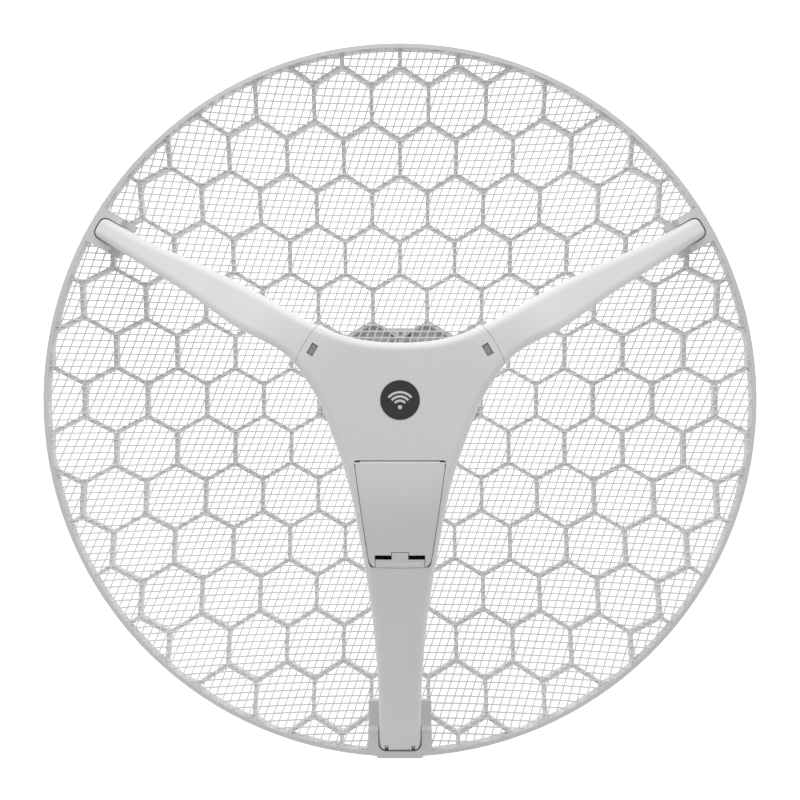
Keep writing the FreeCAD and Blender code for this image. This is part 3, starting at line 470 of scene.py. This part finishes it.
def noise(tree, scale, detail=2.0, stretch=None):
    """A noise texture in the piece's own coordinates, stretched if asked."""
    coordinates = tree.nodes.new("ShaderNodeTexCoord")
    texture = tree.nodes.new("ShaderNodeTexNoise")
    texture.inputs["Scale"].default_value = scale
    texture.inputs["Detail"].default_value = detail
    source = coordinates.outputs["Object"]
    if stretch:
        mapping = tree.nodes.new("ShaderNodeMapping")
        mapping.inputs["Scale"].default_value = stretch
        tree.links.new(source, mapping.inputs["Vector"])
        source = mapping.outputs["Vector"]
    tree.links.new(source, texture.inputs["Vector"])
    return texture.outputs["Fac"]


def remapped(tree, source, low, high):
    """A 0 to 1 value carried to another range."""
    spread = tree.nodes.new("ShaderNodeMapRange")
    spread.inputs["From Min"].default_value = 0.3
    spread.inputs["From Max"].default_value = 0.7
    spread.inputs["To Min"].default_value = low
    spread.inputs["To Max"].default_value = high
    tree.links.new(source, spread.inputs["Value"])
    return spread.outputs["Result"]


def tinted(tree, source, first, second):
    """A colour that drifts between two with a texture."""
    ramp = tree.nodes.new("ShaderNodeValToRGB")
    ramp.color_ramp.elements[0].position = 0.35
    ramp.color_ramp.elements[1].position = 0.65
    ramp.color_ramp.elements[0].color = (*first, 1)
    ramp.color_ramp.elements[1].color = (*second, 1)
    tree.links.new(source, ramp.inputs["Fac"])
    return ramp.outputs["Color"]


def add_bump(tree, shader, source, strength, distance):
    """Fine relief from a texture."""
    bump = tree.nodes.new("ShaderNodeBump")
    bump.inputs["Strength"].default_value = strength
    bump.inputs["Distance"].default_value = distance
    tree.links.new(source, bump.inputs["Height"])
    tree.links.new(bump.outputs["Normal"], shader.inputs["Normal"])


def moulded(name, first, second, rough_low, rough_high, grain=PLASTIC_GRAIN, relief=PLASTIC_RELIEF):
    """A moulded plastic: a slight drift of colour, and a fine spark-eroded grain."""
    material, shader = new_material(name)
    tree = material.node_tree
    drift = noise(tree, TINT_SCALE)
    gloss = noise(tree, GLOSS_SCALE)
    tree.links.new(tinted(tree, drift, first, second), shader.inputs["Base Color"])
    tree.links.new(remapped(tree, gloss, rough_low, rough_high), shader.inputs["Roughness"])
    add_bump(tree, shader, noise(tree, grain, 3.0), 0.35, relief)
    shader.inputs["IOR"].default_value = 1.47
    return material


def metal(name, first, second, rough_low, rough_high, stretch=EVEN):
    """A bare or plated metal with drawn or rolled grain."""
    material, shader = new_material(name)
    tree = material.node_tree
    shader.inputs["Metallic"].default_value = 1.0
    grain = noise(tree, METAL_GRAIN, 4.0, stretch)
    drift = noise(tree, METAL_TINT_SCALE)
    tree.links.new(tinted(tree, drift, first, second), shader.inputs["Base Color"])
    tree.links.new(remapped(tree, grain, rough_low, rough_high), shader.inputs["Roughness"])
    add_bump(tree, shader, grain, 0.3, METAL_RELIEF)
    return material


def lamp_lens(name):
    """A tinted, glossy lamp lens."""
    material, shader = new_material(name)
    tree = material.node_tree
    green = tinted(tree, noise(tree, 300.0), (0.20, 0.62, 0.28), (0.26, 0.70, 0.34))
    tree.links.new(green, shader.inputs["Base Color"])
    tree.links.new(remapped(tree, noise(tree, 500.0), 0.08, 0.16), shader.inputs["Roughness"])
    return material


def circuit_board(name):
    """A green solder mask with faint copper tracks under it."""
    material, shader = new_material(name)
    tree = material.node_tree
    tracks = noise(tree, TRACK_SCALE, 0.0, (1, 1, 6))
    green = tinted(tree, tracks, (0.02, 0.15, 0.07), (0.03, 0.22, 0.10))
    tree.links.new(green, shader.inputs["Base Color"])
    tree.links.new(remapped(tree, noise(tree, 400.0), 0.25, 0.4), shader.inputs["Roughness"])
    add_bump(tree, shader, tracks, 0.2, TRACK_RELIEF)
    return material


def make_materials():
    """Every material by name: two colours, the range of roughness, then any grain of its own."""
    return {
        "cover_plastic": moulded("cover_plastic", (0.785, 0.785, 0.778), (0.80, 0.80, 0.793), 0.36, 0.46),
        "door_plastic": moulded("door_plastic", (0.78, 0.78, 0.77), (0.795, 0.795, 0.785), 0.36, 0.46),
        "grid_coating": moulded("grid_coating", (0.70, 0.70, 0.695), (0.74, 0.74, 0.734), 0.45, 0.6,
                                grain=700.0, relief=0.00003),
        "screen_wire": moulded("screen_wire", (0.80, 0.80, 0.795), (0.84, 0.84, 0.834), 0.45, 0.6,
                               grain=700.0, relief=0.00001),
        "bracket_plastic": moulded("bracket_plastic", (0.64, 0.64, 0.63), (0.68, 0.68, 0.67), 0.45, 0.6,
                                   grain=600.0, relief=0.00004),
        "badge_plastic": moulded("badge_plastic", (0.035, 0.036, 0.04), (0.045, 0.046, 0.05), 0.3, 0.4),
        "badge_mark": moulded("badge_mark", (0.70, 0.70, 0.69), (0.74, 0.74, 0.73), 0.35, 0.45),
        # A dark grey that stands for shade: painted shade in the centre plate's slots and on the hooks in
        # the hub's windows.
        "painted_shade_grey": moulded("painted_shade_grey", (0.30, 0.30, 0.295), (0.33, 0.33, 0.325), 0.4, 0.5),
        "black_plastic": moulded("black_plastic", (0.02, 0.02, 0.02), (0.03, 0.03, 0.03), 0.4, 0.5),
        "nylon": moulded("nylon", (0.78, 0.76, 0.70), (0.82, 0.80, 0.75), 0.35, 0.5),
        "zinc_steel": metal("zinc_steel", (0.58, 0.58, 0.57), (0.66, 0.66, 0.64), 0.28, 0.42),
        "stainless_band": metal("stainless_band", (0.60, 0.60, 0.59), (0.66, 0.66, 0.65), 0.22, 0.36,
                                stretch=(1, 1, 12)),
        "tin_plate": metal("tin_plate", (0.64, 0.64, 0.64), (0.70, 0.70, 0.70), 0.25, 0.38,
                           stretch=(1, 1, 8)),
        "feed_metal": metal("feed_metal", (0.75, 0.48, 0.24), (0.80, 0.55, 0.30), 0.28, 0.4),
        "circuit_board": circuit_board("circuit_board"),
        "led_lens": lamp_lens("led_lens"),
    }


def dress_cad_nodes(materials):
    """Gives each carried-over CAD node its slot's material and smooth shading."""
    slots = {part["node"]: part["material_slot"] for part in frame["record"]["subparts"]}
    for name, node in frame["nodes"].items():
        shade_by_angle(node.data, CAD_CREASE)
        for index in range(len(node.material_slots)):
            node.material_slots[index].material = materials[slots[name]]
        if not node.material_slots:
            node.data.materials.append(materials[slots[name]])


# --- Studio ---


def make_world():
    """Soft light from all round: brightest behind and above, dimmest from the front and below."""
    world = bpy.data.worlds.new("studio")
    bpy.context.scene.world = world
    world.use_nodes = True
    tree = world.node_tree
    background = tree.nodes["Background"]
    coordinates = tree.nodes.new("ShaderNodeTexCoord")
    slope = tree.nodes.new("ShaderNodeVectorMath")
    slope.operation = "DOT_PRODUCT"
    slope.inputs[1].default_value = SKY_SLOPE
    level = tree.nodes.new("ShaderNodeMath")
    level.operation = "ADD"
    level.inputs[1].default_value = SKY_LEVEL
    tree.links.new(coordinates.outputs["Generated"], slope.inputs[0])
    tree.links.new(slope.outputs["Value"], level.inputs[0])
    tree.links.new(level.outputs["Value"], background.inputs["Strength"])
    background.inputs["Color"].default_value = (1.0, 1.0, 1.0, 1.0)


def make_floor():
    """A plain pale floor below the antenna."""
    floor_z = cad_box[0][2] - FLOOR_DROP
    half = FLOOR_SIZE / 2
    corners = ((-half, -half), (half, -half), (half, half), (-half, half))
    builder = bmesh.new()
    builder.faces.new([builder.verts.new((x, FLOOR_MIDDLE_Y + y, floor_z)) for x, y in corners])
    mesh = bpy.data.meshes.new("floor")
    builder.to_mesh(mesh)
    builder.free()
    floor = bpy.data.objects.new("floor", mesh)
    bpy.context.scene.collection.objects.link(floor)
    paint = moulded("floor_paint", (0.80, 0.80, 0.80), (0.82, 0.82, 0.82), 0.7, 0.8,
                    grain=40.0, relief=0.0001)
    mesh.materials.append(paint)


def make_light(name, place, target, size, power):
    """A soft square lamp aimed at a point."""
    lamp = bpy.data.lights.new(name, "AREA")
    lamp.shape = "SQUARE"
    lamp.size = size
    lamp.energy = power
    holder = bpy.data.objects.new(name, lamp)
    bpy.context.scene.collection.objects.link(holder)
    holder.location = place
    holder.rotation_euler = (Vector(target) - Vector(place)).to_track_quat("-Z", "Y").to_euler()


def make_camera():
    """The camera, straight in front of the dish and level with its middle."""
    camera = bpy.data.cameras.new("camera")
    camera.lens = LENS
    camera.sensor_width = SENSOR
    camera.clip_start = CLIP_START
    holder = bpy.data.objects.new("camera", camera)
    bpy.context.scene.collection.objects.link(holder)
    holder.location = (0.0, -CAMERA_DISTANCE, 0.0)
    holder.rotation_euler = (math.pi / 2, 0.0, 0.0)
    bpy.context.scene.camera = holder


make_camera()
materials = make_materials()
dress_cad_nodes(materials)
screen_wires(materials["screen_wire"])
rib_caps(materials["grid_coating"])
plate_face(materials["grid_coating"])
# Painted shade: dark plates over the centre plate's slots.
painted_slot_shade(materials["painted_shade_grey"])
# Painted shade: dark plates on the hooks in the hub's windows.
painted_window_shade(materials["painted_shade_grey"])
badge_arcs(materials["badge_mark"])
make_world()
make_floor()
make_light("key_light", KEY_PLACE, KEY_TARGET, KEY_SIZE, KEY_POWER)
bpy.context.scene.view_settings.view_transform = "Standard"
